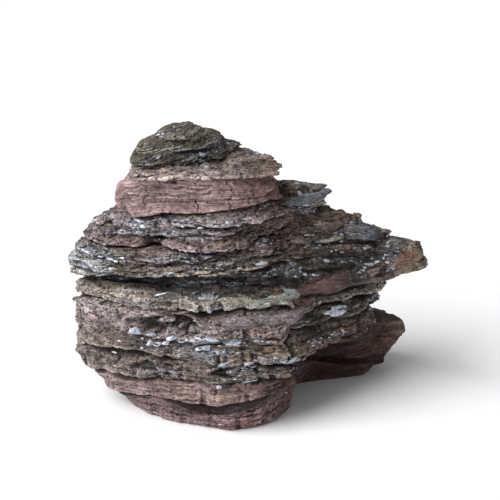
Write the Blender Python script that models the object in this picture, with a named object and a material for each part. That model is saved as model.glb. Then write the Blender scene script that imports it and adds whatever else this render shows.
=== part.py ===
"""A layered viewing stone: one natural piece of purple-red shale and dark mica schist.

Run with: blender --background --python part.py

The stone is a pile of sedimentary beds that never came apart, so it is one closed solid. Each bed is a
section with its own outline, and the solid is a loft from section to section, from the flat underside
to the crown. Going up a bed, the surface comes out of the seam below it, runs over a lip, leans back to
a shoulder and sinks into the next seam. Where the next bed is much smaller, that last stretch is a ledge.

Lengths in the tables are millimetres from a plumb line under the left of the crown. The mesh is in
metres, +Z up, front along -Y, with the origin on the ground under the middle of the stone.
"""

import math
from typing import NamedTuple

import bpy
import numpy as np

MM = 0.001
NODE_NAME = "stone"
STONE_HEIGHT = 193.0  # ground to crown
COLUMNS = 66  # facets round the stone

# The heart line runs up inside the stone, and every bed is seen from it. (height, x, y)
HEART_LINE = (
    (0, 20, 30),
    (30, 20, 22),
    (60, 16, 12),
    (100, 12, 8),
    (140, 2, 5),
    (168, -12, 10),
    (193, -14, 10),
)

LIP_RISE = 2.5  # a bed's lip stands this far above the seam under it,
LIP_SHARE = 0.25  # or this share of its thickness where the bed is thin
# Above the lip the face leans back to the shoulder: (share of the way to the upper seam, share of the lean)
FACE_ROWS = ((0.0, 0.0), (0.45, 0.35), (0.82, 1.0))


class Bed(NamedTuple):
    """One bed of the stone."""

    name: str
    lean: tuple | float  # how far the shoulder stands behind the lip: left, front and back, right
    notch: tuple | float  # how deep the seam under the bed is cut in, in the same directions
    floor: tuple  # that seam's height at places along the stone: (x, height)
    outline: tuple  # the lip seen from above, anticlockwise from the left: (x, y)


BEDS = (
    Bed("foot", (-6, 2, -12), (5, 5, 2), ((0, 0),), (
        (-54, 0), (-52, -14), (-46, -24), (-34, -35), (-20, -43), (-6, -48), (14, -56), (28, -54),
        (40, -48), (53, -35), (61, -20), (59, -4), (58, 8), (68, 16), (90, 24), (110, 30), (116, 34),
        (117, 52), (90, 68), (50, 75), (10, 70), (-25, 58), (-46, 36))),
    Bed("red_step", (-9, 5, -7), (2, 3, 1),
        ((-66, 10), (-36, 19), (4, 18), (21, 23), (60, 28), (80, 16), (140, 13)), (
        (-67.5, 0), (-64.5, -18), (-51, -33), (-33, -46), (-8, -56), (13, -61), (38, -57), (57, -46),
        (62, -34), (57, -14), (56, 4), (66, 15), (92, 25), (118, 32), (135, 42), (129, 58), (95, 74),
        (52, 78), (10, 74), (-28, 66), (-58, 42))),
    Bed("olive_step", (-3, 6, 1), (3, 6, 1),
        ((-84, 26), (-61, 34), (-1, 38), (38, 34), (62, 36), (80, 30), (140, 29)), (
        (-82, 0), (-77, -22), (-59, -38), (-35, -49), (-8, -55), (15, -57), (40, -54), (58, -46),
        (63, -34), (67, -14), (80, 2), (100, 18), (122, 30), (141, 39), (136, 54), (108, 72), (60, 80),
        (10, 78), (-30, 70), (-64, 46))),
    Bed("flake_bed", (4, 7, 4), 7,
        ((-90, 42), (-73, 53), (-50, 56), (-25, 52), (19, 48), (62, 43), (90, 45), (120, 43)), (
        (-85.5, 0), (-81, -24), (-63, -40), (-35, -50), (-8, -54), (15, -55), (40, -53), (63, -46),
        (85, -28), (106, -5), (117, 14), (121, 30), (110, 50), (90, 66), (55, 76), (10, 74), (-30, 68),
        (-66, 44))),
    Bed("purple_bed", (3, 7, 4), (1, 4, 4),
        ((-90, 57), (-60, 67), (-19, 62), (32, 60), (52, 56), (65, 62), (120, 62)), (
        (-86, 0), (-79, -22), (-60, -38), (-30, -48), (0, -52), (30, -51), (57, -44), (80, -26),
        (101, -8), (116, 12), (123, 25), (107, 46), (84, 64), (50, 74), (10, 72), (-30, 66), (-64, 42))),
    Bed("green_lip", (4, 7, 4), (16, 8, 8),
        ((-86, 78), (-68, 83.5), (-31, 81), (0, 79), (35, 80), (56, 82), (64, 76), (124, 72)), (
        (-83, 0), (-76, -18), (-59, -33), (-30, -43), (0, -47), (30, -47), (55, -38), (81, -24),
        (104, -8), (120, 8), (128, 22), (114, 42), (86, 58), (50, 70), (10, 70), (-30, 62), (-62, 40))),
    Bed("dark_bed", (3, 3, 3), 5,
        ((-85, 86), (-40, 93), (40, 94), (60, 89), (82, 85), (118, 83), (150, 87)), (
        (-75, 0), (-64, -16), (-46, -26), (-25, -32), (0, -36), (28, -36), (54, -29), (82, -18),
        (110, -4), (136, 4), (151, 11), (156, 20), (147, 32), (126, 42), (92, 56), (50, 68), (10, 66),
        (-30, 60), (-58, 38))),
    Bed("mica_bed", (-2, 5, 4), (7, 7, 2),
        ((-90, 92), (-59, 103), (-33, 105), (38, 106), (59, 107), (100, 103), (140, 102)), (
        (-87, 0), (-80, -20), (-60, -36), (-30, -44), (0, -47), (24, -43), (48, -30), (75, -14),
        (105, 0), (135, 8), (149, 18), (143, 31), (118, 42), (85, 54), (48, 64), (10, 64), (-30, 58),
        (-64, 40))),
    Bed("mica_cap", (7, 6, 3), 2, ((-88, 106), (-40, 112), (40, 113), (120, 107.5)), (
        (-88, 2), (-78, -17), (-56, -31), (-30, -38), (0, -40), (22, -37), (46, -25), (70, -8), (96, 4),
        (118, 12), (129, 22), (118, 35), (95, 45), (75, 52), (45, 60), (10, 60), (-30, 54), (-62, 36))),
    Bed("lobe_bed", (3, 4, 3), (12, 11, 8),
        ((-80, 119), (-66, 118), (-43, 120), (32, 120), (48, 122), (60, 124), (100, 115)), (
        (-79, 4), (-70, -14), (-58, -23), (-43, -26), (-31, -22), (-18, -34), (0, -43), (17, -39),
        (32, -27), (48, -9), (66, 0), (86, 8), (100, 15), (109, 23), (96, 33), (70, 42), (44, 52),
        (10, 56), (-28, 50), (-58, 34))),
    Bed("lobe_step", (2, 4, 3), 1.5, ((-80, 123), (-40, 127), (0, 130), (60, 132), (84, 129)), (
        (-79, 6), (-70, -12), (-55, -24), (-40, -27), (-20, -32), (0, -38), (18, -36), (34, -25),
        (50, -8), (66, 2), (78, 12), (84, 24), (78, 36), (60, 46), (36, 52), (6, 54), (-28, 50),
        (-56, 36))),
    Bed("lobe_cap", (6, 3, 3), 2, ((-76, 126), (-40, 132), (0, 137), (60, 138), (84, 133)), (
        (-71, 4), (-62, -12), (-50, -23), (-36, -29), (-16, -33), (4, -35.5), (22, -34.5), (38, -27),
        (50, -14), (60, 4), (74, 10), (83, 16), (74, 22), (54, 28), (33, 40), (4, 48), (-28, 48),
        (-54, 34))),
    Bed("red_band", 1, 3,
        ((-60, 133), (-47, 139), (-24, 143), (0, 143), (25, 146), (50, 150), (54, 143)), (
        (-58.5, 6), (-58, -3), (-56.5, -4.5), (-49, -5), (-47.2, -7), (-47, -25), (-45.5, -30.5),
        (-40, -32), (-24, -33), (0, -34), (25, -34), (42, -31), (49, -25), (53, -8), (54, 6), (42, 24),
        (20, 34), (-5, 38), (-28, 36), (-43, 31), (-51, 27), (-57, 20))),
    Bed("red_face", 1, 0, ((-45.5, 149), (-38, 149.5), (-34, 154)), (
        (-45, 4), (-46, -10), (-45.5, -25), (-44.5, -29.5), (-39, -31), (-24, -32), (0, -33), (25, -32),
        (42, -28), (50, -20), (51, -8), (51, 4), (38, 24), (18, 34), (-5, 38), (-28, 35), (-41, 24))),
    Bed("plateau", 3, 0, ((0, 166),), (
        (-44, 6), (-45.5, -10), (-45, -24), (-43.5, -28), (-38, -29.5), (-24, -30), (0, -31), (24, -30),
        (40, -26), (49, -15), (53, 0), (41, 18), (26, 30), (0, 37), (-26, 34), (-39, 24))),
    Bed("crown_foot", 2, 2, ((-40, 169), (0, 169), (24, 172)), (
        (-46, 2), (-45, -16), (-29, -15), (-12, -10), (0, -4), (10, 2), (20, 13), (27, 25), (14, 36),
        (-8, 40), (-28, 36), (-41, 22))),
    Bed("crown", (8, 3, 3), 2, ((0, 178),), (
        (-44, 0), (-41, -12), (-28, -13), (-5, -6), (8, 3), (16, 14), (14, 26), (4, 32), (-14, 34),
        (-30, 28), (-40, 14))),
    Bed("crown_top", 7, 2, ((0, 185),), (
        (-31, 4), (-27, -7), (-14, -9), (-2, -2), (4, 8), (1, 18), (-10, 22), (-23, 17))),
)


def smooth_outline(points, steps=8):
    """A smooth closed curve through the points (Catmull-Rom), as a polygon with this many steps a point."""
    knots = np.array(points, float)
    before, after, beyond = (np.roll(knots, shift, axis=0) for shift in (1, -1, -2))
    t = (np.arange(steps) / steps)[:, None, None]
    bend = 2 * before - 5 * knots + 4 * after - beyond
    twist = 3 * (knots - after) + beyond - before
    curve = knots + 0.5 * t * (after - before + t * (bend + t * twist))
    return curve.transpose(1, 0, 2).reshape(-1, 2)


def reach_to(outline, centre, angles):
    """How far the outline is from a centre inside it, in each direction."""
    arms = smooth_outline(outline) - centre
    bearings = np.unwrap(np.arctan2(arms[:, 1], arms[:, 0]))
    order = np.argsort(bearings)
    return np.interp(angles, bearings[order], np.hypot(*arms.T)[order], period=2 * math.pi)


def heart(heights):
    """x and y of the heart line at these heights."""
    levels, xs, ys = np.array(HEART_LINE, float).T
    return np.interp(heights, levels, xs), np.interp(heights, levels, ys)


def bed_lip(bed, angles):
    """Reach of a bed's lip, and the height of the seam under it, in each direction."""
    seam_x, seam_z = np.array(bed.floor, float).T
    centre = np.array(heart(seam_z.mean()))
    lip = reach_to(bed.outline, centre, angles)
    return lip, np.interp(centre[0] + lip * np.cos(angles), seam_x, seam_z)


def by_side(values, angles):
    """A value in each direction: the left, front and right ones, blended by the square of the cosine."""
    left, front, right = np.broadcast_to(values, 3)
    leftward, rightward = np.clip(-np.cos(angles), 0, 1) ** 2, np.clip(np.cos(angles), 0, 1) ** 2
    return front + (left - front) * leftward + (right - front) * rightward


def column_angles(count):
    """Directions of the loft's columns, spaced so that the columns stand evenly along the mean outline."""
    turn = np.linspace(0, 2 * math.pi, 721)
    reach = np.mean([bed_lip(bed, turn)[0] for bed in BEDS], axis=0)
    length = np.concatenate([[0], np.cumsum(np.hypot(reach[:-1] * np.diff(turn), np.diff(reach)))])
    return np.interp(np.arange(count) / count * length[-1], length, turn)


def stone_rows(angles):
    """(reach, height) of every ring of the loft, from the underside to the crown, in millimetres."""
    lips, floors = zip(*(bed_lip(bed, angles) for bed in BEDS))
    ceilings = floors[1:] + (np.full_like(angles, STONE_HEIGHT),)
    rows = []
    shoulder = lips[0]
    for bed, lip, low, high in zip(BEDS, lips, floors, ceilings):
        rows.append((np.minimum(lip, shoulder) - by_side(bed.notch, angles), low))
        lip_height = low + np.minimum(LIP_RISE, LIP_SHARE * (high - low))
        for rise, leaned in FACE_ROWS:
            rows.append((lip - leaned * by_side(bed.lean, angles), lip_height + rise * (high - lip_height)))
        shoulder = rows[-1][0]
    return rows


def stone_points(angles):
    """The loft's points, ring after ring, then the middle of the underside and the top of the crown."""
    rings = []
    for reach, height in stone_rows(angles):
        x, y = heart(height)
        rings.append(np.stack([x + reach * np.cos(angles), y + reach * np.sin(angles), height], axis=1))
    ends = [[*heart(height), height] for height in (0.0, STONE_HEIGHT)]
    return np.concatenate([*rings, ends]), len(rings)


def loft_faces(rings, columns):
    """Quads between neighbouring rings, and a fan of triangles at either end."""
    column = np.arange(columns)
    following = (column + 1) % columns
    quads = [
        np.stack([ring * columns + column, ring * columns + following,
                  (ring + 1) * columns + following, (ring + 1) * columns + column], axis=1)
        for ring in range(rings - 1)
    ]
    bottom, top = rings * columns, rings * columns + 1
    last = (rings - 1) * columns
    fans = [[bottom, int(b), int(a)] for a, b in zip(column, following)]
    fans += [[top, int(last + a), int(last + b)] for a, b in zip(column, following)]
    return [quad.tolist() for quad in np.concatenate(quads)] + fans


def centred(points):
    """The points moved so that the origin is on the ground under the middle of the stone."""
    low, high = points.min(axis=0), points.max(axis=0)
    return points - [(low[0] + high[0]) / 2, (low[1] + high[1]) / 2, low[2]]


def shale_material():
    material = bpy.data.materials.new("purple-brown shale")
    material.use_nodes = True
    shader = material.node_tree.nodes["Principled BSDF"]
    shader.inputs["Base Color"].default_value = (0.13, 0.09, 0.08, 1)
    shader.inputs["Roughness"].default_value = 0.85
    shader.inputs["Metallic"].default_value = 0.0
    return material


def main():
    for obj in list(bpy.data.objects):
        bpy.data.objects.remove(obj)
    points, rings = stone_points(column_angles(COLUMNS))
    mesh = bpy.data.meshes.new(NODE_NAME)
    mesh.from_pydata((centred(points) * MM).tolist(), [], loft_faces(rings, COLUMNS))
    mesh.materials.append(shale_material())
    mesh.shade_smooth()
    mesh.set_sharp_from_angle(angle=math.radians(35))
    stone = bpy.data.objects.new(NODE_NAME, mesh)
    collection = bpy.data.collections.new("viewing stone")
    bpy.context.scene.collection.children.link(collection)
    collection.objects.link(stone)


main()
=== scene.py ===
import math

import bpy
import numpy as np
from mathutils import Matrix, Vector


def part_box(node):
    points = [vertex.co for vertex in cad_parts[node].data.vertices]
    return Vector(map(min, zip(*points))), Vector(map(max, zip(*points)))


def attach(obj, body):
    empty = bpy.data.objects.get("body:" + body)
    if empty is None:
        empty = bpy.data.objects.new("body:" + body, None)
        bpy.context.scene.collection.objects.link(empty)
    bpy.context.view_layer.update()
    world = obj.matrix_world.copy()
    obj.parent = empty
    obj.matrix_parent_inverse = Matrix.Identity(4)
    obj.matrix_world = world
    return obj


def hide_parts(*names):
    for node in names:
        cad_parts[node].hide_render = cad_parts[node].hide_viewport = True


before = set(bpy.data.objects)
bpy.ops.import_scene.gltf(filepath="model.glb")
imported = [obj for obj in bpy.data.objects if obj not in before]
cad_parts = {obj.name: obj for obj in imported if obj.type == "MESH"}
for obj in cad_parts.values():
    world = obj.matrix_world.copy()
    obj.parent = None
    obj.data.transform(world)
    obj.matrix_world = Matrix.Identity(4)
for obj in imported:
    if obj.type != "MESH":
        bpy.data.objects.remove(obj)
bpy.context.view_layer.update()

# ---------------------------------------------------------------------------------------------------
# The studio. A white sheet of matt paper under the stone and far behind it, one very large soft light
# high on the left, and a weaker one in front that opens up the faces. The camera looks slightly down.

CAMERA_TARGET = np.array([-0.0008, -0.0017, 0.1050])
CAMERA_DISTANCE = 0.941
CAMERA_LIFT = math.radians(20)
LENS_MM = 100.0
SENSOR_MM = 36.0
VIEW_PIXELS = 500
PAPER_HALF_SIZE = 6.0
SKY_STRENGTH = 0.32
# Name, direction, strength and spread in degrees: the wider the spread, the softer the shadows
LIGHTS = (
    ("softbox high on the left", (1.0, 0.50, -1.0), 4.0, 50),
    ("front fill", (0.3, 1.0, -0.5), 0.12, 60),
)


def linear(hex_colour):
    """sRGB hex to linear RGB: each channel through the sRGB curve."""
    channels = np.array([int(hex_colour[i:i + 2], 16) for i in (1, 3, 5)]) / 255
    return np.where(channels <= 0.04045, channels / 12.92, ((channels + 0.055) / 1.055) ** 2.4)


camera_data = bpy.data.cameras.new("view")
camera_data.lens = LENS_MM
camera_data.sensor_width = SENSOR_MM
camera = bpy.data.objects.new("view", camera_data)
backwards = np.array([0, -math.cos(CAMERA_LIFT), math.sin(CAMERA_LIFT)])
camera.location = CAMERA_TARGET + CAMERA_DISTANCE * backwards
camera.rotation_euler = (math.pi / 2 - CAMERA_LIFT, 0, 0)
bpy.context.scene.collection.objects.link(camera)
bpy.context.scene.camera = camera
bpy.context.scene.view_settings.view_transform = "Standard"

paper_material = bpy.data.materials.new("matt white paper")
paper_material.use_nodes = True
paper_shader = paper_material.node_tree.nodes["Principled BSDF"]
paper_shader.inputs["Base Color"].default_value = (*linear("#f7f7f7"), 1)
paper_shader.inputs["Roughness"].default_value = 0.9
paper_shader.inputs["Specular IOR Level"].default_value = 0.1
paper_corners = [
    (x * PAPER_HALF_SIZE, y * PAPER_HALF_SIZE, 0) for x, y in ((-1, -1), (1, -1), (1, 1), (-1, 1))]
paper_mesh = bpy.data.meshes.new("paper")
paper_mesh.from_pydata(paper_corners, [], [(0, 1, 2, 3)])
paper_mesh.materials.append(paper_material)
paper = bpy.data.objects.new("paper", paper_mesh)
bpy.context.scene.collection.objects.link(paper)

for name, towards, strength, spread in LIGHTS:
    light = bpy.data.lights.new(name, "SUN")
    light.energy = strength
    light.angle = math.radians(spread)
    lamp = bpy.data.objects.new(name, light)
    lamp.rotation_euler = Vector(towards).to_track_quat("-Z", "Y").to_euler()
    bpy.context.scene.collection.objects.link(lamp)

sky = bpy.data.worlds.new("white room")
sky.use_nodes = True
sky.node_tree.nodes["Background"].inputs["Color"].default_value = (1, 1, 1, 1)
sky.node_tree.nodes["Background"].inputs["Strength"].default_value = SKY_STRENGTH
bpy.context.scene.world = sky

# ---------------------------------------------------------------------------------------------------
# The stone's body. A block of sedimentary beds, split from the hill along its bedding and weathered:
# red-purple shale in the foot and in the smooth band under the crown, rough mica schist between them.

MM = 0.001
STONE_HEIGHT = 193.0  # mm, as all lengths in this section
FRAME_COLUMNS = 66  # facets round the CAD solid
COARSENESS = 1
COLUMNS = 760 // COARSENESS
ROW_SPACINGS = np.array([1.3, 0.8, 0.62, 0.62, 0.8]) * COARSENESS  # by stage of a bed's profile
COURSE_TRIANGLES = 198000
OUTLINE_SAMPLES = 721
# A lip stands this far over its seam, or this share of the way to the next seam if that is less
LIP_RISE = 2.5
LIP_SHARE = 0.25
SHOULDER_SHARE = 0.82  # the solid's shoulder stands this far up from a bed's lip to the next seam
SOLE_INSET = 3
THINNEST_BED = 1.5
BEDS_APART = 500  # from bed to bed in the noise, so that no two lips are alike
# How rough a lip is, beside 1.0 for the beds not named
LIP_ROUGHNESS = {
    "foot": 0.5, "red_step": 0.5, "lobe_bed": 0.7, "red_band": 0.2, "red_face": 0.2, "plateau": 0.3,
    "crown_foot": 0.4, "crown": 0.4, "crown_top": 0.4,
}
# The thick front of the stone ends at a corner; behind it the wing's beds stand back by up to this much.
# Each pair here and below is where something starts and where it is whole, or where it fades and is gone.
CORNER = (60, 64)  # x
SET_BACK_FADES = (75, 110)  # x
SET_BACK = {
    "olive_step": 3, "flake_bed": 6, "purple_bed": 6, "green_lip": 5, "dark_bed": 2, "mica_bed": 5,
    "mica_cap": 5, "lobe_bed": 6, "lobe_step": 6, "lobe_cap": 4,
}

# The heart line runs up inside the stone, and every bed is seen from it. (height, x, y)
HEART_LINE = (
    (0, 20, 30), (30, 20, 22), (60, 16, 12), (100, 12, 8), (140, 2, 5), (168, -12, 10), (193, -14, 10),
)

# Each bed as in the solid: name, lean of its face and depth of the seam under it (left, front, right),
# the seam's height along the stone (x, height), and its lip from above, anticlockwise from the left.
BEDS = (
    ("foot", (-6, 2, -12), (5, 5, 2), ((0, 0),), (
        (-54, 0), (-52, -14), (-46, -24), (-34, -35), (-20, -43), (-6, -48), (14, -56), (28, -54),
        (40, -48), (53, -35), (61, -20), (59, -4), (58, 8), (68, 16), (90, 24), (110, 30), (116, 34),
        (117, 52), (90, 68), (50, 75), (10, 70), (-25, 58), (-46, 36))),
    ("red_step", (-9, 5, -7), (2, 3, 1),
        ((-66, 10), (-36, 19), (4, 18), (21, 23), (60, 28), (80, 16), (140, 13)), (
        (-67.5, 0), (-64.5, -18), (-51, -33), (-33, -46), (-8, -56), (13, -61), (38, -57), (57, -46),
        (62, -34), (57, -14), (56, 4), (66, 15), (92, 25), (118, 32), (135, 42), (129, 58), (95, 74),
        (52, 78), (10, 74), (-28, 66), (-58, 42))),
    ("olive_step", (-3, 6, 1), (3, 6, 1),
        ((-84, 26), (-61, 34), (-1, 38), (38, 34), (62, 36), (80, 30), (140, 29)), (
        (-82, 0), (-77, -22), (-59, -38), (-35, -49), (-8, -55), (15, -57), (40, -54), (58, -46),
        (63, -34), (67, -14), (80, 2), (100, 18), (122, 30), (141, 39), (136, 54), (108, 72), (60, 80),
        (10, 78), (-30, 70), (-64, 46))),
    ("flake_bed", (4, 7, 4), 7,
        ((-90, 42), (-73, 53), (-50, 56), (-25, 52), (19, 48), (62, 43), (90, 45), (120, 43)), (
        (-85.5, 0), (-81, -24), (-63, -40), (-35, -50), (-8, -54), (15, -55), (40, -53), (63, -46),
        (85, -28), (106, -5), (117, 14), (121, 30), (110, 50), (90, 66), (55, 76), (10, 74), (-30, 68),
        (-66, 44))),
    ("purple_bed", (3, 7, 4), (1, 4, 4),
        ((-90, 57), (-60, 67), (-19, 62), (32, 60), (52, 56), (65, 62), (120, 62)), (
        (-86, 0), (-79, -22), (-60, -38), (-30, -48), (0, -52), (30, -51), (57, -44), (80, -26),
        (101, -8), (116, 12), (123, 25), (107, 46), (84, 64), (50, 74), (10, 72), (-30, 66), (-64, 42))),
    ("green_lip", (4, 7, 4), (16, 8, 8),
        ((-86, 78), (-68, 83.5), (-31, 81), (0, 79), (35, 80), (56, 82), (64, 76), (124, 72)), (
        (-83, 0), (-76, -18), (-59, -33), (-30, -43), (0, -47), (30, -47), (55, -38), (81, -24),
        (104, -8), (120, 8), (128, 22), (114, 42), (86, 58), (50, 70), (10, 70), (-30, 62), (-62, 40))),
    ("dark_bed", (3, 3, 3), 5,
        ((-85, 86), (-40, 93), (40, 94), (60, 89), (82, 85), (118, 83), (150, 87)), (
        (-75, 0), (-64, -16), (-46, -26), (-25, -32), (0, -36), (28, -36), (54, -29), (82, -18),
        (110, -4), (136, 4), (151, 11), (156, 20), (147, 32), (126, 42), (92, 56), (50, 68), (10, 66),
        (-30, 60), (-58, 38))),
    ("mica_bed", (-2, 5, 4), (7, 7, 2),
        ((-90, 92), (-59, 103), (-33, 105), (38, 106), (59, 107), (100, 103), (140, 102)), (
        (-87, 0), (-80, -20), (-60, -36), (-30, -44), (0, -47), (24, -43), (48, -30), (75, -14),
        (105, 0), (135, 8), (149, 18), (143, 31), (118, 42), (85, 54), (48, 64), (10, 64), (-30, 58),
        (-64, 40))),
    ("mica_cap", (7, 6, 3), 2, ((-88, 106), (-40, 112), (40, 113), (120, 107.5)), (
        (-88, 2), (-78, -17), (-56, -31), (-30, -38), (0, -40), (22, -37), (46, -25), (70, -8), (96, 4),
        (118, 12), (129, 22), (118, 35), (95, 45), (75, 52), (45, 60), (10, 60), (-30, 54), (-62, 36))),
    ("lobe_bed", (3, 4, 3), (12, 11, 8),
        ((-80, 119), (-66, 118), (-43, 120), (32, 120), (48, 122), (60, 124), (100, 115)), (
        (-79, 4), (-70, -14), (-58, -23), (-43, -26), (-31, -22), (-18, -34), (0, -43), (17, -39),
        (32, -27), (48, -9), (66, 0), (86, 8), (100, 15), (109, 23), (96, 33), (70, 42), (44, 52),
        (10, 56), (-28, 50), (-58, 34))),
    ("lobe_step", (2, 4, 3), 1.5, ((-80, 123), (-40, 127), (0, 130), (60, 132), (84, 129)), (
        (-79, 6), (-70, -12), (-55, -24), (-40, -27), (-20, -32), (0, -38), (18, -36), (34, -25),
        (50, -8), (66, 2), (78, 12), (84, 24), (78, 36), (60, 46), (36, 52), (6, 54), (-28, 50),
        (-56, 36))),
    ("lobe_cap", (6, 3, 3), 2, ((-76, 126), (-40, 132), (0, 137), (60, 138), (84, 133)), (
        (-71, 4), (-62, -12), (-50, -23), (-36, -29), (-16, -33), (4, -35.5), (22, -34.5), (38, -27),
        (50, -14), (60, 4), (74, 10), (83, 16), (74, 22), (54, 28), (33, 40), (4, 48), (-28, 48),
        (-54, 34))),
    ("red_band", 1, 3, ((-60, 133), (-47, 139), (-24, 143), (0, 143), (25, 146), (50, 150), (54, 143)), (
        (-58.5, 6), (-58, -3), (-56.5, -4.5), (-49, -5), (-47.2, -7), (-47, -25), (-45.5, -30.5),
        (-40, -32), (-24, -33), (0, -34), (25, -34), (42, -31), (49, -25), (53, -8), (54, 6), (42, 24),
        (20, 34), (-5, 38), (-28, 36), (-43, 31), (-51, 27), (-57, 20))),
    ("red_face", 1, 0, ((-45.5, 149), (-38, 149.5), (-34, 154)), (
        (-45, 4), (-46, -10), (-45.5, -25), (-44.5, -29.5), (-39, -31), (-24, -32), (0, -33), (25, -32),
        (42, -28), (50, -20), (51, -8), (51, 4), (38, 24), (18, 34), (-5, 38), (-28, 35), (-41, 24))),
    ("plateau", 3, 0, ((0, 166),), (
        (-44, 6), (-45.5, -10), (-45, -24), (-43.5, -28), (-38, -29.5), (-24, -30), (0, -31), (24, -30),
        (40, -26), (49, -15), (53, 0), (41, 18), (26, 30), (0, 37), (-26, 34), (-39, 24))),
    ("crown_foot", 2, 2, ((-40, 169), (0, 169), (24, 172)), (
        (-46, 2), (-45, -16), (-29, -15), (-12, -10), (0, -4), (10, 2), (20, 13), (27, 25), (14, 36),
        (-8, 40), (-28, 36), (-41, 22))),
    ("crown", (8, 3, 3), 2, ((0, 178),), (
        (-44, 0), (-41, -12), (-28, -13), (-5, -6), (8, 3), (16, 14), (14, 26), (4, 32), (-14, 34),
        (-30, 28), (-40, 14))),
    ("crown_top", 7, 2, ((0, 185),), (
        (-31, 4), (-27, -7), (-14, -9), (-2, -2), (4, 8), (1, 18), (-10, 22), (-23, 17))),
)
BED_NAMES = [bed[0] for bed in BEDS]


def smooth_outline(points, steps=8):
    """A closed Catmull-Rom curve through the points: each stretch is a cubic of its four nearest ones."""
    knots = np.array(points, float)
    before, after, beyond = (np.roll(knots, shift, axis=0) for shift in (1, -1, -2))
    t = (np.arange(steps) / steps)[:, None, None]
    bend = 2 * before - 5 * knots + 4 * after - beyond
    twist = 3 * (knots - after) + beyond - before
    curve = knots + 0.5 * t * (after - before + t * (bend + t * twist))
    return curve.transpose(1, 0, 2).reshape(-1, 2)


def reach_to(outline, centre, angles):
    """Distance from a centre to the outline in each direction: its polar form, read by bearing."""
    arms = smooth_outline(outline) - centre
    bearings = np.unwrap(np.arctan2(arms[:, 1], arms[:, 0]))
    order = np.argsort(bearings)
    return np.interp(angles, bearings[order], np.hypot(*arms.T)[order], period=2 * math.pi)


def heart(heights):
    """x and y of the heart line at these heights, straight between its points."""
    levels, xs, ys = np.array(HEART_LINE, float).T
    return np.interp(heights, levels, xs), np.interp(heights, levels, ys)


def bed_lip(bed, angles):
    """Reach of a bed's lip, and the height of the seam under it, in each direction."""
    seam_x, seam_z = np.array(bed[3], float).T
    centre = np.array(heart(seam_z.mean()))
    lip = reach_to(bed[4], centre, angles)
    return lip, np.interp(centre[0] + lip * np.cos(angles), seam_x, seam_z)


def by_side(values, angles):
    """A value in each direction: the left, front and right ones, blended by the square of the cosine."""
    left, front, right = np.broadcast_to(values, 3)
    leftward, rightward = np.clip(-np.cos(angles), 0, 1) ** 2, np.clip(np.cos(angles), 0, 1) ** 2
    return front + (left - front) * leftward + (right - front) * rightward


def column_angles(count):
    """Directions of the columns, at equal steps of length along the beds' mean outline."""
    turn = np.linspace(0, 2 * math.pi, OUTLINE_SAMPLES)
    reach = np.mean([bed_lip(bed, turn)[0] for bed in BEDS], axis=0)
    length = np.concatenate([[0], np.cumsum(np.hypot(reach[:-1] * np.diff(turn), np.diff(reach)))])
    return np.interp(np.arange(count) / count * length[-1], length, turn)


def at_heart(reach, height, angles):
    """Points at a reach from the heart line: heart(height) + reach * (cos, sin), and the height itself."""
    x, y = heart(height)
    return np.stack([x + reach * np.cos(angles), y + reach * np.sin(angles), height], axis=-1)


def hashed(cells, seed):
    """A repeatable number from 0 to 1 for each cell: primes times its parts, xored and shifted."""
    x, y, z = (cells[..., axis].astype(np.uint32) for axis in range(3))
    mixed = x * np.uint32(374761393) + y * np.uint32(668265263) + z * np.uint32(3266489917)
    mixed = mixed + np.uint32(seed * 974634777 % 2 ** 32)
    mixed = (mixed ^ (mixed >> np.uint32(15))) * np.uint32(2246822519)
    mixed = (mixed ^ (mixed >> np.uint32(13))) * np.uint32(3266489917)
    return ((mixed ^ (mixed >> np.uint32(16))) / 4294967296).astype(np.float32)


def noise(points, size, seed):
    """Smooth noise from -1 to 1: random values on a lattice of this size, blended by smoothstep."""
    place = (points / np.asarray(size, float)).astype(np.float32)
    corner = np.floor(place)
    share = place - corner
    share = share * share * (3 - 2 * share)
    corner = corner.astype(np.int32)
    total = np.zeros(points.shape[:-1], np.float32)
    for step in np.ndindex(2, 2, 2):
        weight = np.prod(np.where(step, share, 1 - share), axis=-1)
        total += weight * hashed(corner + np.array(step, np.int32), seed)
    return 2 * total - 1


def noise_sum(points, *layers):
    """Noises added up, each given as its share, its lattice size and its seed."""
    return sum(share * noise(points, size, seed) for share, size, seed in layers)


def in_steps(values, steps):
    """Values rounded down to the nearest of this many steps a unit."""
    return np.floor(steps * values) / steps


def clamp_step(value, low, high):
    """0 below low, 1 above high, a smoothstep between them."""
    share = np.clip((value - low) / (high - low), 0, 1)
    return share * share * (3 - 2 * share)


def patches(points, size, seed, low, high):
    """Patches with soft edges: 0 where noise of this size is below low, 1 where it is above high."""
    return clamp_step(noise(points, size, seed), low, high)


coarse = column_angles(FRAME_COLUMNS)
rings = []
for bed, next_bed in zip(BEDS, BEDS[1:]):
    lip, low = bed_lip(bed, coarse)
    thickness = bed_lip(next_bed, coarse)[1] - low
    lip_height = low + np.minimum(LIP_RISE, LIP_SHARE * thickness)
    shoulder_height = lip_height + SHOULDER_SHARE * (low + thickness - lip_height)
    rings.append(at_heart(lip, lip_height, coarse))
    rings.append(at_heart(lip - by_side(bed[1], coarse), shoulder_height, coarse))
rings = np.concatenate(rings)
cad_low, cad_high = (np.array(corner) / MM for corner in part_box("stone"))
# Where the plumb line stands in the frame, whose origin is under the middle of the solid
PLUMB_LINE = (cad_low + cad_high - rings.min(axis=0) - rings.max(axis=0))[:2] / 2

angles = column_angles(COLUMNS)
bed_count = len(BEDS)
lips = np.empty((bed_count, COLUMNS))
chips = np.empty((bed_count, COLUMNS))
floors = np.zeros((bed_count + 1, COLUMNS))
notches = np.empty((bed_count, COLUMNS))
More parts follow.
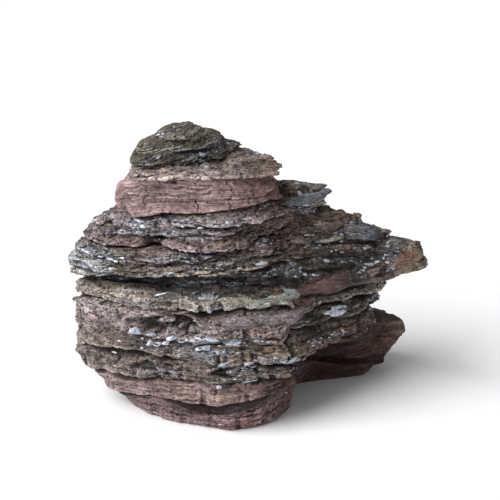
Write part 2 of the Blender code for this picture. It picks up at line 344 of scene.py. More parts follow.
# A lip has lobes about 36 mm long and 5 mm deep, with bites of 3 mm and chips of about 1 mm in them. The
# seam under it sways by 2 mm and dips under the lobes, and is deeper at some places than at others.
for k, bed in enumerate(BEDS):
    lip, floor = bed_lip(bed, angles)
    roughness = LIP_ROUGHNESS.get(bed[0], 1.0)
    apart = at_heart(lip, floor, angles) + [0, 0, BEDS_APART * k]
    lobes = 5.5 * (np.sqrt(np.abs(noise(apart, (36, 36, 60), 1))) - 0.5) + noise(apart, (14, 14, 60), 8)
    stands_back = clamp_step(apart[:, 0], *CORNER) * (1 - clamp_step(apart[:, 0], *SET_BACK_FADES))
    stands_back *= SET_BACK.get(bed[0], 0) * (np.sin(angles) < 0)
    lips[k] = lip + roughness * lobes - stands_back
    bites = -3.0 * patches(apart, (6, 6, 60), 4, 0.35, 0.6)
    chips[k] = bites + 1.1 * noise(apart, (9, 9, 60), 2) + 0.8 * noise(apart, (3.6, 3.6, 60), 3)
    chips[k] *= roughness
    sway = noise_sum(apart, (1.8, (28, 28, 60), 5), (0.7, (8, 8, 60), 6))
    floors[k] = floor + roughness * (sway - 0.6 * lobes if k else 0)
    notches[k] = by_side(bed[2], angles) * (0.85 + 1.1 * noise(apart, (30, 30, 60), 7))
floors[bed_count] = STONE_HEIGHT
notches = np.maximum(notches, 0)
for k in range(1, bed_count + 1):
    floors[k] = np.maximum(floors[k], floors[k - 1] + THINNEST_BED)

# Each bed's profile runs through stations, from the seam under it to the seam over it: in the seam, on the
# edge of the underside, at the lip, half way up the face, at the shoulder, in the next seam. A stage is the
# stretch between two stations, and the pairs are stages between which a kind of detail comes or goes.
UNDERSIDE = 1  # the seam ends where this stage starts
LEDGE = 4
LIP_ENDS = (2.2, 3.6)
FACE_STARTS = (0.3, 1.2)
FACE_ENDS = (4.05, 4.5)
LEDGE_STARTS = (4.1, 4.5)
reach_rows, height_rows, bed_rows, stage_rows, over_rows = [], [], [], [], []
for k, bed in enumerate(BEDS):
    low, high, lip = floors[k], floors[k + 1], lips[k]
    rise = np.minimum(LIP_RISE, LIP_SHARE * (high - low))
    inner = np.minimum(lip, shoulder_reach) - notches[k] if k else lip - SOLE_INSET
    apart = at_heart(lip, low, angles) + [0, 0, BEDS_APART * k]
    # The shoulder stands about three quarters of the way up, here more and there less
    shoulder = low + rise + (0.76 + 0.3 * noise(apart, (26, 26, 60), 9)) * (high - low - rise)
    lean = by_side(bed[1], angles)
    shoulder_reach = lip - lean
    if k + 1 < bed_count:
        end, overhang = np.minimum(shoulder_reach, lips[k + 1]) - notches[k + 1], lips[k + 1]
    else:
        end, overhang = np.zeros(COLUMNS), np.zeros(COLUMNS)
    stations = (
        (inner, low), (lip - 0.6, low + 0.4 * rise), (lip, low + rise),
        (lip - 0.35 * lean, low + rise + 0.45 * (high - low - rise)),
        (shoulder_reach, shoulder), (end, high),
    )
    for stage, (start, stop) in enumerate(zip(stations, stations[1:])):
        length = np.hypot(stop[0] - start[0], stop[1] - start[1]).mean()
        count = max(2, round(length / ROW_SPACINGS[stage]))
        for share in np.arange(count) / count:
            by_lip = clamp_step(stage + share, 0, 1) * (1 - clamp_step(stage + share, *LIP_ENDS))
            reach_rows.append(start[0] + share * (stop[0] - start[0]) + by_lip * chips[k])
            bulge = share * (2 - share) if k + 1 == bed_count and stage == LEDGE else share
            height_rows.append(start[1] + bulge * (stop[1] - start[1]))
            bed_rows.append(k)
            stage_rows.append(stage + share)
            over_rows.append(overhang if stage == LEDGE else lip)
reach, height = np.array(reach_rows), np.array(height_rows)
bed_of_row, stage_of_row = np.array(bed_rows)[:, None], np.array(stage_rows)[:, None]


def of_beds(values, otherwise):
    """A value for each row by its bed's name."""
    return np.array([values.get(name, otherwise) for name in BED_NAMES])[bed_of_row]


# Painted shade in clefts: how deep a place is and how dark it is painted for the shadow there, from 0 to 1.
# It starts with the seams, by how far they lie under the lips.
SEAM_DEPTHS = (0.5, 4.0)
# How much of the painted shade in its seams each bed keeps
FAINT_SEAM_SHADE = {"lobe_cap": 0.4, "red_band": 0.4, "red_face": 0.2, "plateau": 0.3}
painted_cleft_shade = clamp_step(np.array(over_rows) - reach, *SEAM_DEPTHS)
painted_cleft_shade = painted_cleft_shade * ((stage_of_row < UNDERSIDE) | (stage_of_row > LEDGE))
painted_cleft_shade = painted_cleft_shade * of_beds(FAINT_SEAM_SHADE, 1.0)

# Weathering rounds the profile a little: each row is averaged with the rows over and under it
WEATHERING_PASSES = 2
for _ in range(WEATHERING_PASSES):
    for rows in (reach, height):
        rows[1:-1] = 0.25 * rows[:-2] + 0.5 * rows[1:-1] + 0.25 * rows[2:]

# Where a patch of another rock lies, its edge wanders by up to this much along, across and up
EDGE_WANDER = (7, 7, 3)
base = at_heart(reach, height, angles)
wander = np.stack([noise(base, 18, seed) for seed in (75, 76, 77)], axis=-1)
wandered = base + EDGE_WANDER * wander
base_x, base_y = base[..., 0], base[..., 1]
on_front = base_y < 0


def in_zone(place, x, z, half_length, half_height):
    """1 in an oval seen from the front, 0 a quarter beyond it: a smoothstep on distance in half sizes."""
    away = np.hypot((place[..., 0] - x) / half_length, (place[..., 2] - z) / half_height)
    return 1 - clamp_step(away, 0.7, 1.25)


def at_level(places, levels):
    """The same places with other heights: x and y stay."""
    return np.concatenate([places[..., :2], levels[..., None]], axis=-1)


# Smooth shale, and the places in rough beds where it comes through: (x, height, half sizes)
smoothness = of_beds({"red_band": 0.65, "red_face": 0.65, "foot": 0.35, "red_step": 0.35}, 0.0)
SMOOTH_ZONES = ((84, 86, 32, 7), (128, 86, 24, 4), (140, 97, 10, 8))
for zone in SMOOTH_ZONES:
    smoothness = np.maximum(smoothness, 0.7 * in_zone(wandered, *zone))
on_face = clamp_step(stage_of_row, *FACE_STARTS) * (1 - 0.75 * clamp_step(stage_of_row, *FACE_ENDS))
bedding = height.mean(axis=1, keepdims=True) + 1.3 * noise(base, (28, 28, 40), 10)
# The low block on the right has its bedding tilted, so that it climbs to the right
BLOCK_LEFT = (66, 78)  # x
BLOCK_TOP = (42, 48)
BLOCK_BACK = (40, 70)  # y
BLOCK_SLOPE = 0.45
in_block = clamp_step(base_x, *BLOCK_LEFT) * (1 - clamp_step(height, *BLOCK_TOP))
in_block = in_block * (1 - clamp_step(base_y, *BLOCK_BACK))
smoothness = np.maximum(smoothness, 0.5 * in_block)
bedding = bedding - BLOCK_SLOPE * in_block * (base_x - BLOCK_LEFT[0])
# The crown's leaves climb that way too, so its ledges cut across them
CROWN_BASE = (167, 172)
CROWN_SLOPE = 0.22
bedding = bedding - CROWN_SLOPE * clamp_step(height, *CROWN_BASE) * base_x
# Mica lies in flat patches along the bedding, and there is none in smooth shale
micaceous = patches(at_level(base, bedding * 2), (24, 24, 5), 79, -0.05, 0.35)
micaceous = micaceous * (1 - np.minimum(1, 2.5 * smoothness))
# The lower left has little mica and breaks as rounded lumps
LUMPY_FROM = (20, 55)  # mm to the left of the middle
LUMPY_TOP = (78, 86)
lumpy_end = clamp_step(-base_x, *LUMPY_FROM) * (1 - clamp_step(height, *LUMPY_TOP))
micaceous = micaceous * (1 - 0.9 * lumpy_end)
# How far each bed splits into leaves. The others break as lumps, and so do patches of all of them, but
# from the corner to the wing's tip all are leaves.
LEAFINESS = {
    "green_lip": 0.35, "purple_bed": 0.45, "flake_bed": 0.5, "olive_step": 0.5, "lobe_cap": 0.6,
    "lobe_bed": 0.25, "plateau": 0.4,
}
WING_STARTS = (52, 75)  # x
WING_BACK = 20  # y
leafy = of_beds(LEAFINESS, 0.9)
leafy = leafy * (1 - 0.6 * patches(base, (24, 24, 12), 91, -0.2, 0.3))
leafy = leafy * (1 - 0.6 * lumpy_end)
leafy = np.maximum(leafy, 0.8 * clamp_step(base_x, *WING_STARTS) * (base_y < WING_BACK))
leafy = leafy + 0.3 * in_block

# Laminae: thin leaves within a bed, parallel to its seams. Each has its own broken edge and leans back to
# the leaf above it, and here and there the gap between two leaves is open and darkened with painted shade.
LEAVES = ((3.4, 1.3, 2.0, 11), (1.7, 0.8, 1.2, 12))  # thickness, depth of the edge and of the gaps, seed
FINENESS = {"crown_foot": 1.7, "crown": 1.7, "crown_top": 1.6}  # how many leaves in place of one
GAP_HEIGHT = 1.1
# An open gap this deep gets the full painted shade
DARK_GAP_DEPTH = 2.4
LEAVES_APART = 37  # from leaf to leaf in the noise, so that no two edges are alike
leaf_lift = 0
painted_gap_shade = 0
for leaf, depth, gap_depth, seed in LEAVES:
    level = bedding * of_beds(FINENESS, 1.0) / leaf + 0.45 * noise(base, (9, 9, 14), seed + 10)
    index = np.floor(level)
    leaf_place = at_level(base, index * LEAVES_APART)
    edge = noise_sum(leaf_place, (1, (20, 20, 1), seed + 20), (0.35, (4, 4, 1), seed + 30))
    broken = in_steps(noise(leaf_place, (14, 14, 1), seed + 40), 2.5)
    gap = patches(leaf_place, (17, 17, 1), seed + 50, 0.15, 0.4)
    gap = gap * (level - index < GAP_HEIGHT / leaf)
    leaf_lift = leaf_lift + depth * (0.8 * edge + 0.5 * broken - 0.8 * (level - index)) - gap_depth * gap
    painted_gap_shade = np.maximum(painted_gap_shade, gap * gap_depth / DARK_GAP_DEPTH)
reach = reach + on_face * (1 - smoothness) * leafy * leaf_lift
painted_cleft_shade = np.maximum(painted_cleft_shade, on_face * (1 - smoothness) * leafy * painted_gap_shade)

# Recesses where leaves have dropped out of the front: (x, height, half sizes, depth). The low block has
# furrows along its bedding instead. Both are darkened with painted shade.
RECESSES = ((-20, 73, 22, 5.5, 9.0), (-30, 45, 14, 3, 3.5), (20, 45, 12, 3, 3.5), (88, 84, 14, 3, 4.0))
FURROW_DEPTH = 3.0
for x, z, half_length, half_height, depth in RECESSES:
    dropped = in_zone(wandered, x, z, half_length, half_height) * on_front
    dropped = dropped * clamp_step(0.5 + noise(base, (7, 7, 2.5), 93), 0.1, 0.4)
    reach = reach - depth * dropped * on_face
    painted_cleft_shade = np.maximum(painted_cleft_shade, 0.55 * dropped)
furrows = in_block * patches(at_level(base, bedding), (60, 60, 8), 94, 0.05, 0.5)
reach = reach - FURROW_DEPTH * furrows * on_face
painted_cleft_shade = np.maximum(painted_cleft_shade, 0.35 * furrows)

# The red band is one face with fine lines along it, shallow broken steps and a few cracks down it, darkened
# with painted shade
CRACKS = ((-24, 1.0), (-1, 1.1), (20, 0.6), (-36, 0.6), (33, 0.5))  # x, depth
CRACK_HALF_WIDTH = 0.5
STEPS_PER_MM = 2.2
banded = of_beds({"red_band": 1.0, "red_face": 1.0}, 0.0)
lines = noise_sum(base, (0.4, (22, 22, 1.5), 15), (0.25, (9, 9, 3.0), 16))
lines = lines + 0.5 * in_steps(noise(base, (19, 60, 4.5), 96), STEPS_PER_MM)
wobble = noise_sum(base, (2.4, (400, 400, 4), 17), (0.8, (400, 400, 1.7), 18))
open_crack = on_front * patches(base, (9, 400, 5), 19, -0.5, 0.3)
for x, depth in CRACKS:
    here = (np.abs(base_x + wobble - x) < CRACK_HALF_WIDTH) * open_crack
    lines = lines - depth * here
    painted_cleft_shade = np.maximum(painted_cleft_shade, 0.6 * depth * banded * here)
reach = reach + banded * on_face * lines
points = at_heart(reach, height, angles)

# Broken plates on the ledges: the height goes in small steps
flat = clamp_step(stage_of_row, *LEDGE_STARTS) * (1 - painted_cleft_shade)
plates = noise_sum(points, (1.5, (11, 11, 40), 51), (0.9, (4.5, 4.5, 40), 52))
plate_rise = of_beds({"plateau": 0.3, "crown_foot": 0.5, "crown": 0.5, "crown_top": 0.5}, 0.9)
points[..., 2] += flat * plate_rise * (in_steps(plates, STEPS_PER_MM) + 0.3)


def unit(axes):
    """Each axis divided by its length, so that it is 1 long."""
    return axes / np.maximum(np.linalg.norm(axes, axis=-1, keepdims=True), 1e-9)


def grid_normals(grid):
    """Normals of a grid that closes on itself round each row: cross products of central differences."""
    along = np.roll(grid, -1, axis=1) - np.roll(grid, 1, axis=1)
    up = np.gradient(grid, axis=0)
    return unit(np.cross(along, up))


def smoothed(grid, strides):
    """A grid averaged with its four neighbours this many steps away, once for each stride."""
    row = np.arange(len(grid))
    for stride in strides:
        grid = 0.25 * (np.roll(grid, stride, axis=1) + np.roll(grid, -stride, axis=1)) + 0.5 * grid
        under, over = grid[np.maximum(row - stride, 0)], grid[np.minimum(row + stride, row[-1])]
        grid = 0.25 * (under + over) + 0.5 * grid
    return grid


# The break itself: grains stand out and pits go in, and the beds that don't split are lumpy
GRAIN_PROUD = 1  # mm by which it may pass the solid's top
normals = grid_normals(points)
grain = noise_sum(points, (0.15, 2.4, 61), (0.25, 1.4, 62))
pits = -1.0 * patches(points, (3.2, 3.2, 1.8), 63, 0.42, 0.75)
lumps = (1.3 - 1.0 * leafy) * noise_sum(points, (0.9, (10, 10, 5), 64), (0.4, (5, 5, 2.5), 65))
open_face = (1 - 0.8 * smoothness) * (1 - 0.6 * painted_cleft_shade)
open_face *= of_beds({"crown_foot": 0.6, "crown": 0.55, "crown_top": 0.55, "plateau": 0.7}, 1.0)
points = points + (open_face * (grain + pits + lumps))[..., None] * normals
points[..., 2] = np.clip(points[..., 2], 0, STONE_HEIGHT + GRAIN_PROUD)

# How far each point lies inside the mean of those around it, close by and farther off
normals = grid_normals(smoothed(points, (1,)))
hollow = np.sum((smoothed(points, (1, 1, 2)) - points) * normals, axis=-1)
recess = np.sum((smoothed(points, (1, 2, 4, 8, 10)) - points) * normals, axis=-1)

# The rock's colours. Each bed has one at its lip and one up its face and on its ledge; then come the zones
# where a bed changes along the stone, and some of painted light and shade: (colour, x, height, half length,
# half height, share).
SHALES = {
    "foot": ("#917879", "#745e5e"), "red_step": ("#957e7d", "#7d6866"),
    "olive_step": ("#8d8079", "#716660"), "flake_bed": ("#a09389", "#6c5f56"),
    "purple_bed": ("#a09295", "#8a7c79"), "green_lip": ("#a79e94", "#837970"),
    "dark_bed": ("#6a625e", "#48454a"), "mica_bed": ("#938980", "#665b51"),
    "mica_cap": ("#8e8582", "#635952"), "lobe_bed": ("#96827f", "#7f6e6b"),
    "lobe_step": ("#989092", "#68636a"), "lobe_cap": ("#a39797", "#7a7272"),
    "red_band": ("#ab9291", "#8d7474"), "red_face": ("#ab9291", "#8d7474"),
    "plateau": ("#b8a9a3", "#968780"), "crown_foot": ("#958b7f", "#5f564c"),
    "crown": ("#a3998b", "#665c51"), "crown_top": ("#ada294", "#746a5f"),
}
ZONES = (
    ("#c4c5c9", -76, 105, 22, 10, 0.85),  # silvery mica at the left end
    ("#8d938a", -66, 113, 14, 4, 0.7),  # its greenish top
    ("#8a7c6c", -50, 86, 30, 6, 0.4),  # olive-brown under it
    ("#5a5a60", 0, 96, 60, 5, 0.7),  # painted shade in the seam that runs the whole front
    ("#b9b8a2", 36, 87, 20, 5, 0.85),  # the pale green leaf
    ("#aab8ad", 50, 86, 7, 4, 0.6),  # its bluish end
    ("#93827c", -62, 66, 26, 9, 0.6),  # brown-purple shoulder on the left
    ("#8a7e7e", 40, 71, 24, 5, 0.7),  # purple-grey slab
    ("#38363a", 18, 63.5, 40, 3.5, 0.8),  # dark leaf full of mica
    ("#9c8a78", -4, 30, 24, 5, 0.6),  # tan patch on the foot
    ("#b5a09e", -54, 24, 22, 14, 0.7),  # the foot's paler left
    ("#8a8f9c", 2, 58, 26, 3.5, 0.55),  # bluish sheet of mica under the dark leaf
    ("#93807c", -60, 30, 26, 7, 0.6),  # purple-brown over the foot's paler left
    ("#4a423d", -10, 43, 34, 5, 0.5),  # dark leaves over the foot
    ("#7d5f5c", 76, 88, 20, 5, 0.8),  # red-purple slab under the wing
    ("#4b4645", 85, 96, 45, 7, 0.5),  # grey leaves of the wing
    ("#8a909e", 104, 117, 16, 6, 0.85),  # blue-grey slabs on the wing
    ("#848995", 128, 108, 16, 4, 0.7),  # and their end towards its tip
    ("#938071", 80, 121, 14, 7, 0.8),  # tan slab
    ("#a09482", 143, 95, 14, 11, 0.65),  # the wing's end: a pale rim
    ("#7b4f4b", 138, 98, 8, 6, 0.8),  # round a red core
    ("#c2b0a9", -30, 166, 20, 4, 0.8),  # painted light on the plateau's left edge
    ("#776a66", 36, 169, 26, 5, 0.5),  # and painted shade on its right
    ("#54463c", 8, 180, 17, 10, 0.6),  # the crown's shaded side
    ("#302b29", -2, 95, 54, 4, 0.4),  # painted shade in the deep seam under the mica bed
    ("#8c7a70", 128, 84, 26, 3, 0.6),  # pinkish lower edge of the wing
    ("#6b6664", 88, 62, 30, 14, 0.6),  # grey mass under the wing
    ("#442b28", 110, 22, 44, 26, 0.95),  # red-brown block, its own colour darkened further with painted shade under the overhang
    ("#7d614a", 92, 50, 17, 8, 0.55),  # brown rock over it
    ("#5e4845", 47, 155, 18, 18, 0.65),  # the red band's shaded end
    ("#26211e", 84, 101, 40, 6, 0.9),  # painted shade on the wing's darkest leaves
    ("#1f1b1a", 44, 95, 30, 6, 0.9),  # and painted shade on those before its root
    ("#8b8068", -66, 128, 8, 4, 0.5),  # ochre stain
    ("#6e5551", 58, 146, 12, 3, 0.6),  # red top of the ledge beside the band
    ("#3d2e2d", 48, 20, 14, 18, 0.65),  # the foot's shaded end
    ("#8e7679", 5, 118, 60, 3, 0.6),  # reddish lip
    ("#9a8886", -62, 120, 14, 5, 0.6),  # and its paler left end
    ("#84706d", -53, 148, 6, 12, 0.75),  # the shaded block at the red band's left
)
GREEN_LEAF = "#a3a690"
LEAF_FOOT = (-38, 176)  # x, height of its left end
LEAF_SLOPE = 0.2
MICA_DUST = "#767b88"
RUST = "#7d5a3d"
LEDGE_DIRT = "#6c625a"
BEHIND_CORNER = (50, 70)  # x
BEHIND_CORNER_FADES = (110, 125)  # x
WARM_SHADE_TINT = np.array([0, 0.07, 0.14])  # what the painted warm shade takes from red, green and blue


def blended(under, over, share):
    """One colour laid over another, by a share from 0 to 1 at each point."""
    share = share[..., None]
    return under * (1 - share) + over * share


main_tints = np.array([linear(SHALES[name][0]) for name in BED_NAMES])
patch_tints = np.array([linear(SHALES[name][1]) for name in BED_NAMES])
up_the_bed = (stage_of_row - 2.6) / 2.0
patchy = 0.8 * up_the_bed + noise(points, (15, 15, 5), 71) + 0.5 * noise(points, (4, 4, 2), 72)
tint = blended(main_tints[bed_of_row], patch_tints[bed_of_row], clamp_step(patchy, -0.6, 0.7))
for hex_colour, x, z, half_length, half_height, share in ZONES:
    cover = share * in_zone(wandered, x, z, half_length, half_height)
    tint = blended(tint, linear(hex_colour), cover * (0.75 + 0.25 * noise(points, (6, 6, 2.5), 73)))
# One pale green leaf climbs to the right across the crown
over_leaf = wandered[..., 2] - LEAF_FOOT[1] - LEAF_SLOPE * (wandered[..., 0] - LEAF_FOOT[0])
on_leaf = (base_y < 10) * (base_x > LEAF_FOOT[0])
on_leaf = on_leaf * (1 - clamp_step(np.abs(over_leaf), 0.6, 1.6))
on_leaf = 0.7 * on_leaf * patches(points, (9, 9, 9), 95, -0.6, 0.1)
tint = blended(tint, linear(GREEN_LEAF), on_leaf)
tint = blended(tint, linear(MICA_DUST), 0.4 * micaceous)
# Rust spots on the right, in the rough rock only
rusty = patches(points, (12, 12, 6), 92, 0.35, 0.7) * clamp_step(wandered[..., 0], -30, 60)
tint = blended(tint, linear(RUST), 0.45 * rusty * (1 - np.minimum(1, 3 * smoothness)))
# Painted shade: the faces just behind the corner are darker
painted_shade_behind_corner = clamp_step(wandered[..., 0], *BEHIND_CORNER) * (wandered[..., 1] < 30)
painted_shade_behind_corner = painted_shade_behind_corner * (1 - clamp_step(wandered[..., 0], *BEHIND_CORNER_FADES))
tint = tint * (1 - 0.35 * painted_shade_behind_corner[..., None])
# Dirt lies on what faces up. Hollows and deep recesses are darkened with painted shade and crests lightened
# with painted light; edges are paler, partly worn and partly a painted highlight
facing_up = clamp_step(grid_normals(smoothed(points, (1, 2, 3)))[..., 2], 0.25, 0.8)
facing_up = facing_up * (1 - np.minimum(1, 2 * smoothness))
dirt = 0.45 * facing_up * patches(points, (20, 20, 9), 74, -0.6, 0.5)
tint = blended(tint, linear(LEDGE_DIRT), dirt)
painted_hollow_shade = clamp_step(hollow, -0.1, 0.5)[..., None]
wear_and_edge_highlight = clamp_step(-hollow, 0.0, 0.5)[..., None]
painted_recess_shade = clamp_step(recess, 0.3, 4.0)[..., None]
painted_crest_light = clamp_step(-recess, 0.5, 3.0)[..., None]
tint = tint * (1 - 0.7 * painted_hollow_shade) * (1 + 0.4 * wear_and_edge_highlight) * (1 - 0.6 * painted_recess_shade) * (1 + 0.2 * painted_crest_light)
# Painted warm shade: the right side and the deep recesses lose some green and blue, for light bounced warm
# into the shade
painted_warm_shade = np.maximum(painted_recess_shade, clamp_step(base_x, 0, 55)[..., None])
tint = tint * (1 - WARM_SHADE_TINT * painted_warm_shade)

points[..., :2] += PLUMB_LINE


def course_faces(rows, columns):
    """Quads of a grid that closes round each row, then a fan to one more point at either end."""
    column = np.arange(columns)
    following = (column + 1) % columns
    first = (np.arange(rows - 1) * columns)[:, None]
    quads = [first + column, first + following, first + columns + following, first + columns + column]
    last = (rows - 1) * columns
    under, over = rows * columns, rows * columns + 1
    bottom = np.stack([np.full(columns, under), following, column], axis=-1)
    top = np.stack([np.full(columns, over), last + column, last + following], axis=-1)
    return np.stack(quads, axis=-1).reshape(-1, 4), np.concatenate([bottom, top])


def mesh_from_arrays(name, vertices, quads, triangles):
    """A mesh from whole arrays of corners: quads first, then triangles."""
    mesh = bpy.data.meshes.new(name)
    corners = np.concatenate([quads.ravel(), triangles.ravel()]).astype(np.int32)
    sizes = np.concatenate([np.full(len(quads), 4), np.full(len(triangles), 3)])
    mesh.vertices.add(len(vertices))
    mesh.vertices.foreach_set("co", np.ascontiguousarray(vertices, np.float32).ravel())
    mesh.loops.add(len(corners))
    mesh.loops.foreach_set("vertex_index", corners)
    mesh.polygons.add(len(sizes))
    starts = np.concatenate([[0], np.cumsum(sizes)[:-1]]).astype(np.int32)
    mesh.polygons.foreach_set("loop_start", starts)
    mesh.update(calc_edges=True)
    return mesh


def give_rock_attributes(mesh, tints, traits, places):
    """What the rock's shader reads: a point's colour, (painted cleft shade, shale, mica) and place in the
    bedding.
    """
    colours = np.concatenate([tints, np.ones((len(tints), 1))], axis=1)
    for name, kind, part, values in (
        ("tint", "FLOAT_COLOR", "color", colours),
        ("traits", "FLOAT_VECTOR", "vector", traits),
        ("bedding", "FLOAT_VECTOR", "vector", places),
    ):
        mesh.attributes.new(name, kind, "POINT").data.foreach_set(part, values.astype(np.float32).ravel())


def with_ends(grid):
    """A grid's points in one list, then one from its first row and one from its last, for its two ends."""
    return np.concatenate([grid.reshape(-1, grid.shape[-1]), grid[0, :1], grid[-1, :1]])


def add_node(tree, kind, settings=(), links=()):
    """Adds a node: settings are attributes or input values by name, links are (input, node or socket)."""
    node = tree.nodes.new(kind)
    for name, value in dict(settings).items():
        if isinstance(name, str) and hasattr(node, name):
            setattr(node, name, value)
        else:
            node.inputs[name].default_value = value
    for name, source in links:
        socket = source.outputs[0] if isinstance(source, bpy.types.Node) else source
        tree.links.new(socket, node.inputs[name])
    return node


WAVES_PER_UNIT = 20 / (2 * math.pi)  # how many bands the wave texture draws in one unit at scale 1
LAMINA_SPACING = 1.5
MOTTLE_SIZE = 3.2
RELIEF_DEPTH = 0.8
COVER_SHARE = 0.8


def per_mm(*sizes):
    """Texture scale, in cycles a metre, of a pattern with these sizes in mm."""
    return tuple(1000 / size for size in sizes)


# Weathered schist and shale: a matt, gritty break, with leaves about a millimetre thick that show as
# fine dark and light lines along the bedding, sugary grains, open pits and tiny glints of mica.
rock = bpy.data.materials.new("weathered schist and shale")
rock.use_nodes = True
tree = rock.node_tree
shader = tree.nodes["Principled BSDF"]
place = add_node(tree, "ShaderNodeTexCoord").outputs["Object"]
tint_in = add_node(tree, "ShaderNodeAttribute", {"attribute_name": "tint"}).outputs["Color"]
traits_in = add_node(tree, "ShaderNodeAttribute", {"attribute_name": "traits"}).outputs["Vector"]
traits_in = add_node(tree, "ShaderNodeSeparateXYZ", (), [("Vector", traits_in)])
painted_cleft_shade_in, shale_in, mica_in = (traits_in.outputs[axis] for axis in "XYZ")
bedding_in = add_node(tree, "ShaderNodeAttribute", {"attribute_name": "bedding"}).outputs["Vector"]
grit_in = add_node(tree, "ShaderNodeMath", {"operation": "MULTIPLY_ADD", 1: -0.85, 2: 1.0}, [(0, shale_in)])

# Blotches in the bedding, by size in mm along, across and up: leaves under a millimetre thick, blotches
# whose edges are the thin dark seams between leaves, and the places where the laminae show
blotches = []
for sizes, detail, roughness in (((9, 9, 0.9), 3, 0.65), ((24, 24, 2.4), 2, 0.6), ((14, 14, 5), 2, 0.5)):
    spread = add_node(tree, "ShaderNodeMapping", {"Scale": per_mm(*sizes)}, [("Vector", bedding_in)])
    blotches.append(add_node(
        tree, "ShaderNodeTexNoise", {"Scale": 1, "Detail": detail, "Roughness": roughness},
        [("Vector", spread)]))
leaves, seams, lamina_patches = blotches
seam_side = add_node(tree, "ShaderNodeMath", {"operation": "SUBTRACT", 1: 0.5}, [(0, seams)])
seam_away = add_node(tree, "ShaderNodeMath", {"operation": "ABSOLUTE"}, [(0, seam_side)])

# Laminae: wavy lines a little over a millimetre apart that come and go
laminae = add_node(
    tree, "ShaderNodeTexWave",
    {"wave_type": "BANDS", "bands_direction": "Z", "Scale": 1000 / LAMINA_SPACING / WAVES_PER_UNIT,
     "Distortion": 3.5, "Detail": 3, "Detail Scale": 0.6, "Detail Roughness": 0.6},
    [("Vector", bedding_in)])

# Flattened cells, by size in mm: sugary grains of quartz and dark ore, each of one shade and each its own
# small dome; pits where grains fell out; and mica, of which a few cells shine
cells = []
for sizes in ((1.0, 1.0, 0.75), (3.4, 3.4, 2.2), (2.2, 2.2, 0.8)):
    spread = add_node(tree, "ShaderNodeMapping", {"Scale": per_mm(*sizes)}, [("Vector", bedding_in)])
    cells.append(add_node(tree, "ShaderNodeTexVoronoi", {"Scale": 1}, [("Vector", spread)]))
grains, pits, mica_cells = cells
grain_random, mica_random = (
    add_node(tree, "ShaderNodeSeparateColor", (), [("Color", cell.outputs["Color"])])
    for cell in (grains, mica_cells))
mottle = add_node(
    tree, "ShaderNodeTexNoise", {"Scale": 1000 / MOTTLE_SIZE, "Detail": 4, "Roughness": 0.7},
    [("Vector", place)])

# Each pattern's value, from its low end to its high end, becomes a shade or a share
RANGE_ENDS = ("From Min", "From Max", "To Min", "To Max")
leaf_shade, seam_shade, lamina_line, lamina_share, grain_shade, mottle_shade, pit_depth_and_shade, glint = (
    add_node(tree, "ShaderNodeMapRange", zip(RANGE_ENDS, ends), [("Value", pattern)])
    for pattern, ends in (
        (leaves, (0.33, 0.67, 0.78, 1.18)),
        (seam_away, (0.0, 0.03, 0.65, 1.0)),
        (laminae, (0.0, 0.45, 0.45, 0.0)),
        (lamina_patches, (0.4, 0.6, 0.0, 1.0)),
        (grain_random, (0.0, 1.0, 0.5, 1.5)),
        (mottle, (0.32, 0.68, 0.72, 1.25)),
        (pits, (0.2, 0.36, 1.0, 0.0)),
        (mica_random, (0.84, 0.9, 0.0, 1.0)),
    ))
lamina_line, pit_depth_and_shade, glint = (
    add_node(tree, "ShaderNodeMath", {"operation": "MULTIPLY"}, [(0, value), (1, share)])
    for value, share in ((lamina_line, lamina_share), (pit_depth_and_shade, grit_in), (glint, mica_in)))
lamina_shade = add_node(tree, "ShaderNodeMath", {"operation": "SUBTRACT", 0: 1.0}, [(1, lamina_line)])
grain_shade = add_node(tree, "ShaderNodeMix", {2: 1.0}, [(0, grit_in), (3, grain_shade)])

# The colour: the bed's own, shaded by the patterns, then painted shade in pits and clefts, and bright mica
# whose white is partly its own colour and partly a painted glint
shade = leaf_shade
for factor in (seam_shade, lamina_shade, grain_shade, mottle_shade):
    shade = add_node(tree, "ShaderNodeMath", {"operation": "MULTIPLY"}, [(0, shade), (1, factor)])
colour = add_node(
    tree, "ShaderNodeMixRGB", {"blend_type": "MULTIPLY", "Fac": 1},
    [("Color1", tint_in), ("Color2", shade)])
for hex_colour, cover in (("#1a1512", pit_depth_and_shade), ("#d5d8e0", glint), ("#15110e", painted_cleft_shade_in)):
    cover = add_node(tree, "ShaderNodeMath", {"operation": "MULTIPLY", 1: COVER_SHARE}, [(0, cover)])
    colour = add_node(
        tree, "ShaderNodeMixRGB", {"Color2": (*linear(hex_colour), 1)},
        [("Fac", cover), ("Color1", colour)])
tree.links.new(colour.outputs[0], shader.inputs["Base Color"])
gloss = add_node(tree, "ShaderNodeMath", {"operation": "MULTIPLY_ADD", 1: -0.5, 2: 0.85}, [(0, glint)])
tree.links.new(gloss.outputs[0], shader.inputs["Roughness"])
shader.inputs["Specular IOR Level"].default_value = 0.35

# The relief: domed grains and leaves stand out, seams, pits and laminae go in
relief = add_node(tree, "ShaderNodeMath", {"operation": "MULTIPLY"}, [(0, grains), (1, grit_in)])
for pattern, rise in ((leaves, 1.2), (seam_shade, 0.6), (pit_depth_and_shade, -1.0), (lamina_line, -1.0)):
    relief = add_node(
        tree, "ShaderNodeMath", {"operation": "MULTIPLY_ADD", 1: rise}, [(0, pattern), (2, relief)])
bump = add_node(
    tree, "ShaderNodeBump", {"Strength": 1.0, "Distance": RELIEF_DEPTH * MM}, [("Height", relief)])
tree.links.new(bump.outputs[0], shader.inputs["Normal"])

